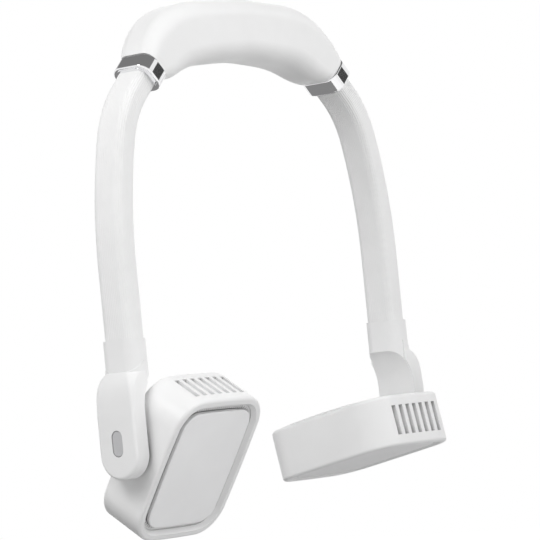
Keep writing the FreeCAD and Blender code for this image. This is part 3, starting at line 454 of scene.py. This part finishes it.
shell_white = moulded_plastic("shell_white", (0.87, 0.87, 0.87), 0.34, 0.44)
# the panel is the shells' white, painted a little lighter to stand in for light on its down-facing
# face
panel_grey = moulded_plastic("panel_grey", (0.92, 0.92, 0.925), 0.38, 0.48)
scroll_grey = moulded_plastic("scroll_grey", (0.36, 0.36, 0.37), 0.45, 0.55)
button_grey = moulded_plastic("button_grey", (0.54, 0.54, 0.55), 0.45, 0.55)
blower_grey = moulded_plastic("blower_grey", (0.30, 0.30, 0.31), 0.4, 0.5)
comb_white = moulded_plastic("comb_white", (0.85, 0.85, 0.85), 0.45, 0.55)
print("plastic finishes: 6")

# %% [markdown]
# ## Metals, rubber, copper and board
# The ferrules are plated and polished, the core is drawn wire, screws and axles are zinc plated. A
# grey paint would look flat here, because metal shows what it mirrors. So plating is a full metal
# with low roughness, and fine noise in that roughness keeps it from looking like a perfect mirror.
# The parts inside get plain but true finishes too.

# %% Make the other finishes
def metal(name, colour, rough_low, rough_high, scale):
    material, tree, shader = start_material(name, colour, 1.0)
    rough = spread(tree, object_noise(tree, scale), rough_low, rough_high)
    tree.links.new(rough, shader.inputs["Roughness"])
    return material


ring_chrome = metal("ring_chrome", (0.83, 0.83, 0.84), 0.05, 0.09, 150)
core_metal = metal("core_metal", (0.70, 0.70, 0.71), 0.28, 0.4, 900)
steel = metal("steel", (0.62, 0.62, 0.61), 0.2, 0.32, 700)
winding = metal("winding", (0.62, 0.33, 0.15), 0.25, 0.4, 1200)
lead_rubber = moulded_plastic("lead_rubber", (0.03, 0.03, 0.03), 0.5, 0.62, 0.1)
cell_wrap = moulded_plastic("cell_wrap", (0.06, 0.2, 0.42), 0.25, 0.35, 0.02)
board = moulded_plastic("board", (0.03, 0.2, 0.07), 0.3, 0.4, 0.03)
print("other finishes: 7")

# %% [markdown]
# ## Dress the frame's own solids
# Shells, panels, screws and the parts inside are rigid. They could be modelled again here, but the
# frame's meshes are already exact, so each keeps its mesh and only gets a finish. A finish belongs to
# a kind of piece, so the list below goes from finish to the piece names, with the side left open.

# %% Give each solid its finish
FINISHES = {
    shell_white: ("neckband_shell", "neckband_back_cover", "{}_bracket", "{}_bracket_cover",
                  "{}_housing", "{}_back_panel"),
    panel_grey: ("{}_front_panel",),
    ring_chrome: ("{}_ring",),
    button_grey: ("power_button",),
    scroll_grey: ("{}_volute",),
    blower_grey: ("{}_impeller", "{}_bush", "{}_washer"),
    core_metal: ("{}_spine_upper", "{}_spine_lower"),
    steel: ("{}_axle", "{}_axle_clip", "{}_motor_shaft", "{}_head_screws", "neckband_screws",
            "charge_port"),
    winding: ("{}_stator",),
    cell_wrap: ("battery_cells",),
    board: ("charge_board", "switch_board"),
}


def dress(node, material):
    mesh = nodes[node].data
    mesh.materials.clear()
    mesh.materials.append(material)


dressed = set()
for finish, names in FINISHES.items():
    for name in names:
        for side in SIDES:
            node = name.format(side)
            if node not in dressed:
                dress(node, finish)
                dressed.add(node)
print("dressed", len(dressed), "solids")

# %% [markdown]
# ## Intake combs
# Air enters each head through the groove round its front panel. A finger comb lies in that groove:
# a thin ledge under the rim with short teeth across the gap, so that air passes and nothing
# larger does. It could be drawn with a boolean, but a strip is simpler: the panel's own outline is
# walked in even steps, and the strip's inner edge steps in for a tooth and out for a gap.

# %% Walk round a front panel
def panel_outline(side):
    """The panel's outline as flat points, the head's axes, and the height of the panel's face."""
    facing = Vector(joints[f"{side}_impeller_spin"]["axis"])
    across = Vector((1, 0, 0))
    along = facing.cross(across)
    panel = nodes[f"{side}_front_panel"]
    places = [panel.matrix_world @ vert.co for vert in panel.data.vertices]
    flat = [Vector((place.dot(across), place.dot(along))) for place in places]
    hull = [flat[index] for index in convex_hull_2d(flat)]
    face = max(place.dot(facing) for place in places)
    return hull, (across, along, facing), face


def walk_loop(loop, stations):
    """Points at the given shares of the way round a closed line."""
    steps = [(loop[(index + 1) % len(loop)] - point).length for index, point in enumerate(loop)]
    total = sum(steps)
    found = []
    index = 0
    passed = 0.0
    for share in stations:
        goal = share * total
        while index < len(loop) - 1 and passed + steps[index] < goal:
            passed += steps[index]
            index += 1
        part = (goal - passed) / steps[index]
        found.append(loop[index].lerp(loop[(index + 1) % len(loop)], part))
    return found


print("panel outline of", len(panel_outline("left")[0]), "corner points")

# %% [markdown]
# The strip is one small section, carried round the panel: inside it has the tooth's or the ledge's
# edge, and outside a flange that reaches up to the underside of the rim and holds the comb there.
# Sections side by side are joined face by face, and the last one to the first, so that the comb is
# a closed ring.

# %% Draw the comb's section
COMB_DEPTH = 2.4 * MM
COMB_THICK = 0.8 * MM
COMB_TIP = 0.08 * MM
COMB_LEDGE = 1.5 * MM
FLANGE_INNER = 2.4 * MM
FLANGE_OUTER = 2.85 * MM
FLANGE_DEPTH = 1.65 * MM


def comb_section(is_tooth):
    """The section's corners, each as a way out from the panel and a depth below its face."""
    inner = COMB_TIP if is_tooth else COMB_LEDGE
    low = COMB_DEPTH + COMB_THICK
    return ((inner, COMB_DEPTH), (FLANGE_INNER, COMB_DEPTH), (FLANGE_INNER, FLANGE_DEPTH),
            (FLANGE_OUTER, FLANGE_DEPTH), (FLANGE_OUTER, low), (inner, low))


def ring_faces(sections, corners):
    """Four-sided faces that join each section to the next, all the way round."""
    faces = []
    for index in range(sections):
        here = corners * index
        after = corners * ((index + 1) % sections)
        for corner in range(corners):
            beside = (corner + 1) % corners
            faces.append((here + corner, here + beside, after + beside, after + corner))
    return faces


print("comb section of", len(comb_section(True)), "corners")

# %% [markdown]
# A tooth and a gap take four stations of the walk: two on the tooth, two on the ledge. The section
# has to stand square to the panel's edge, and the stations a little before and after tell which way
# that edge runs.

# %% Lay the combs in the grooves
COMB_TEETH = 132
COMB_STATIONS = ((0.0, True), (0.56, True), (0.64, False), (0.92, False))
COMB_LOOK = 2


def outward_at(points, index):
    after = points[(index + COMB_LOOK) % len(points)]
    edge = (after - points[index - COMB_LOOK]).normalized()
    return Vector((edge.y, -edge.x))


def comb_mesh(side):
    loop, (across, along, facing), face = panel_outline(side)
    stations = [((tooth + part) / COMB_TEETH, is_tooth)
                for tooth in range(COMB_TEETH) for part, is_tooth in COMB_STATIONS]
    points = walk_loop(loop, [share for share, is_tooth in stations])
    verts = []
    for index, (share, is_tooth) in enumerate(stations):
        out = outward_at(points, index)
        for offset, depth in comb_section(is_tooth):
            flat = points[index] + out * offset
            verts.append(across * flat.x + along * flat.y + facing * (face - depth))
    mesh = bpy.data.meshes.new(f"{side}_intake_comb")
    mesh.from_pydata(verts, [], ring_faces(len(points), len(comb_section(True))))
    mesh.update()
    return mesh


for side in SIDES:
    mesh = comb_mesh(side)
    mesh.materials.append(comb_white)
    comb = bpy.data.objects.new(f"{side}_intake_comb", mesh)
    bpy.context.scene.collection.objects.link(comb)
    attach(comb, f"{side}_head")
print("intake combs with", COMB_TEETH, "teeth each")

# %% [markdown]
# ## Bendable hoses
# Each arm is a soft white skin over a bendable core, with a rounded oblong section and fine ribs
# that run along it. It could be a bevelled curve, but a curve's bevel can't be ribbed and bent at
# a joint. So the skin is a mesh: one ribbed outline carried down a line of straight runs and arcs.

# %% Draw the arm's line
RING_TOP = Vector((69.5, 0, -4.2)) * MM
RING_ANGLE = math.radians(45)
RING_LENGTH = 8.6 * MM
HOSE_LEAD = 8.2 * MM
FIRST_RADIUS = 50.5 * MM
FIRST_END = math.radians(75)
SECOND_RADIUS = 237 * MM
STRAIGHT_DOWN = math.pi / 2
LINE_STEP = 1.2 * MM


def heading(angle):
    return Vector((math.cos(angle), 0, -math.sin(angle)))


def arm_line(back, lowest):
    """Points and headings of the right arm's middle line, from behind the ring's top downwards."""
    rows = []
    start = RING_TOP - heading(RING_ANGLE) * back
    run = back + RING_LENGTH + HOSE_LEAD

    def straight(point, angle, length):
        steps = max(1, round(length / LINE_STEP))
        for step in range(steps):
            rows.append((point + heading(angle) * (length * step / steps), angle))
        return point + heading(angle) * length

    def arc(point, first, last, radius):
        steps = max(1, round(radius * (last - first) / LINE_STEP))
        middle = point + Vector((-math.sin(first), 0, -math.cos(first))) * radius
        for step in range(steps):
            angle = first + (last - first) * step / steps
            rows.append((middle + Vector((math.sin(angle), 0, math.cos(angle))) * radius, angle))
        return middle + Vector((math.sin(last), 0, math.cos(last))) * radius

    point = straight(start, RING_ANGLE, run)
    point = arc(point, RING_ANGLE, FIRST_END, FIRST_RADIUS)
    point = arc(point, FIRST_END, STRAIGHT_DOWN, SECOND_RADIUS)
    point = straight(point, STRAIGHT_DOWN, point.z - lowest)
    rows.append((point, STRAIGHT_DOWN))
    return rows


hose_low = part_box("right_hose")[0].z
line = arm_line(-RING_LENGTH / 2, hose_low)
print("arm line of", len(line), "points down to", round(hose_low / MM, 1), "mm")

# %% [markdown]
# The outline is a rounded oblong. Walking round it by its own length keeps the ribs evenly spaced,
# also round the corners. The ribs could be a bump in the finish, but then the mesh itself would stay
# smooth, so they are a low cosine wave on the outline.

# %% Shape the hose's outline
HOSE_DEPTH = 17.4 * MM
HOSE_WIDTH = 12.7 * MM
HOSE_CORNER = 4 * MM
HOSE_RIBS = 48
RIB_HEIGHT = 0.15 * MM
POINTS_PER_RIB = 6


def oblong_point(share, wide, high, corner):
    """A point and its outward direction, at a share of the way round a rounded oblong."""
    flats = (high - 2 * corner, wide - 2 * corner)
    turn = corner * math.pi / 2
    walk = share * (2 * sum(flats) + 4 * turn)
    outward = 0.0
    for index in range(4):
        flat = flats[index % 2]
        out = Vector((math.cos(outward), math.sin(outward)))
        along = Vector((-out.y, out.x))
        reach_out = (wide if index % 2 == 0 else high) / 2
        if walk <= flat:
            return out * reach_out + along * (walk - flat / 2), out
        walk -= flat
        if walk <= turn:
            angle = outward + walk / corner
            middle = out * (reach_out - corner) + along * (flat / 2)
            bent = Vector((math.cos(angle), math.sin(angle)))
            return middle + bent * corner, bent
        walk -= turn
        outward += math.pi / 2
    return Vector((wide / 2, -flats[0] / 2)), Vector((1, 0))


def ribbed_outline():
    count = HOSE_RIBS * POINTS_PER_RIB
    points = []
    for index in range(count):
        share = index / count
        point, out = oblong_point(share, HOSE_DEPTH, HOSE_WIDTH, HOSE_CORNER)
        wave = math.cos(share * HOSE_RIBS * 2 * math.pi) - 1
        points.append(point + out * (wave * RIB_HEIGHT / 2))
    return points


outline = ribbed_outline()
print("hose outline of", len(outline), "points with", HOSE_RIBS, "ribs")

# %% [markdown]
# A sweep is rows of the same outline, one for each point of the line, joined by four-sided faces
# and closed by a cap at each end. The left arm is the right one with its sideways place turned over,
# and then its faces are turned over too, so that they still look outwards.

# %% Carry an outline along a line
def swept_mesh(name, rows, outline, side, material):
    """Carry an outline along a line and close both ends."""
    count = len(outline)
    verts = []
    for point, angle in rows:
        normal = Vector((math.sin(angle), 0, math.cos(angle)))
        for flat in outline:
            place = point + Vector((0, 1, 0)) * flat.x + normal * flat.y
            verts.append((place.x * side, place.y, place.z))
    faces = []
    for row in range(len(rows) - 1):
        for index in range(count):
            after = (index + 1) % count
            ring = (row * count + index, row * count + after,
                    (row + 1) * count + after, (row + 1) * count + index)
            faces.append(ring if side > 0 else ring[::-1])
    last = (len(rows) - 1) * count
    caps = [list(range(count))[::-1], list(range(last, last + count))]
    faces += caps if side > 0 else [cap[::-1] for cap in caps]
    mesh = bpy.data.meshes.new(name)
    mesh.from_pydata(verts, [], faces)
    mesh.polygons.foreach_set("use_smooth", [len(face) == 4 for face in faces])
    mesh.materials.append(material)
    piece = bpy.data.objects.new(name, mesh)
    bpy.context.scene.collection.objects.link(piece)
    return piece


print("each sweep has", len(line), "rows")

# %% [markdown]
# The skin is soft and duller than the shells, so its gloss is low and its grain faint.

# %% Sweep the hoses
HOSE_COLOUR = (0.87, 0.87, 0.87)
HOSE_CHANGE = 0.015
HOSE_CLOUD_SCALE = 90
HOSE_GLOSS_SCALE = 400
HOSE_GLOSS = (0.6, 0.7)
HOSE_GRAIN_SCALE = 1800
HOSE_GRAIN_HEIGHT = 0.05 * MM
HOSE_GRAIN = 0.03


def hose_material():
    material, tree, shader = start_material("hose_skin", HOSE_COLOUR)
    cloud_colour(tree, shader, HOSE_COLOUR, HOSE_CHANGE, HOSE_CLOUD_SCALE)
    rough = spread(tree, object_noise(tree, HOSE_GLOSS_SCALE), *HOSE_GLOSS)
    tree.links.new(rough, shader.inputs["Roughness"])
    fine_bump(tree, shader, object_noise(tree, HOSE_GRAIN_SCALE), HOSE_GRAIN_HEIGHT, HOSE_GRAIN)
    return material


hose_skin = hose_material()
for side, sign in SIDES.items():
    hose = swept_mesh(f"{side}_hose_skin", line, outline, sign, hose_skin)
    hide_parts(f"{side}_hose")
    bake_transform(hose)
print("hose skins of", len(line) * len(outline), "points each")

# %% [markdown]
# ## Leads inside the arms
# A thin power lead runs beside the core in each arm, hidden in the hose. It could stay the frame's
# own solid, but a rigid lead would cut through a bent hose. So it is swept down the same line and set
# to one side.

# %% Sweep the leads
LEAD_SIDES = 24
lead_low, lead_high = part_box("right_cable")
lead_middle = (lead_low.y + lead_high.y) / 2
lead_radius = (lead_high.y - lead_low.y) / 2
lead_outline = [Vector((lead_middle + lead_radius * math.cos(turn), lead_radius * math.sin(turn)))
                for turn in (2 * math.pi * index / LEAD_SIDES for index in range(LEAD_SIDES))]
lead_line = arm_line(0, lead_low.z)
for side, sign in SIDES.items():
    lead = swept_mesh(f"{side}_power_lead", lead_line, lead_outline, sign, lead_rubber)
    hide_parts(f"{side}_cable")
    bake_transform(lead)
print("leads of", round(2 * lead_radius / MM, 1), "mm")
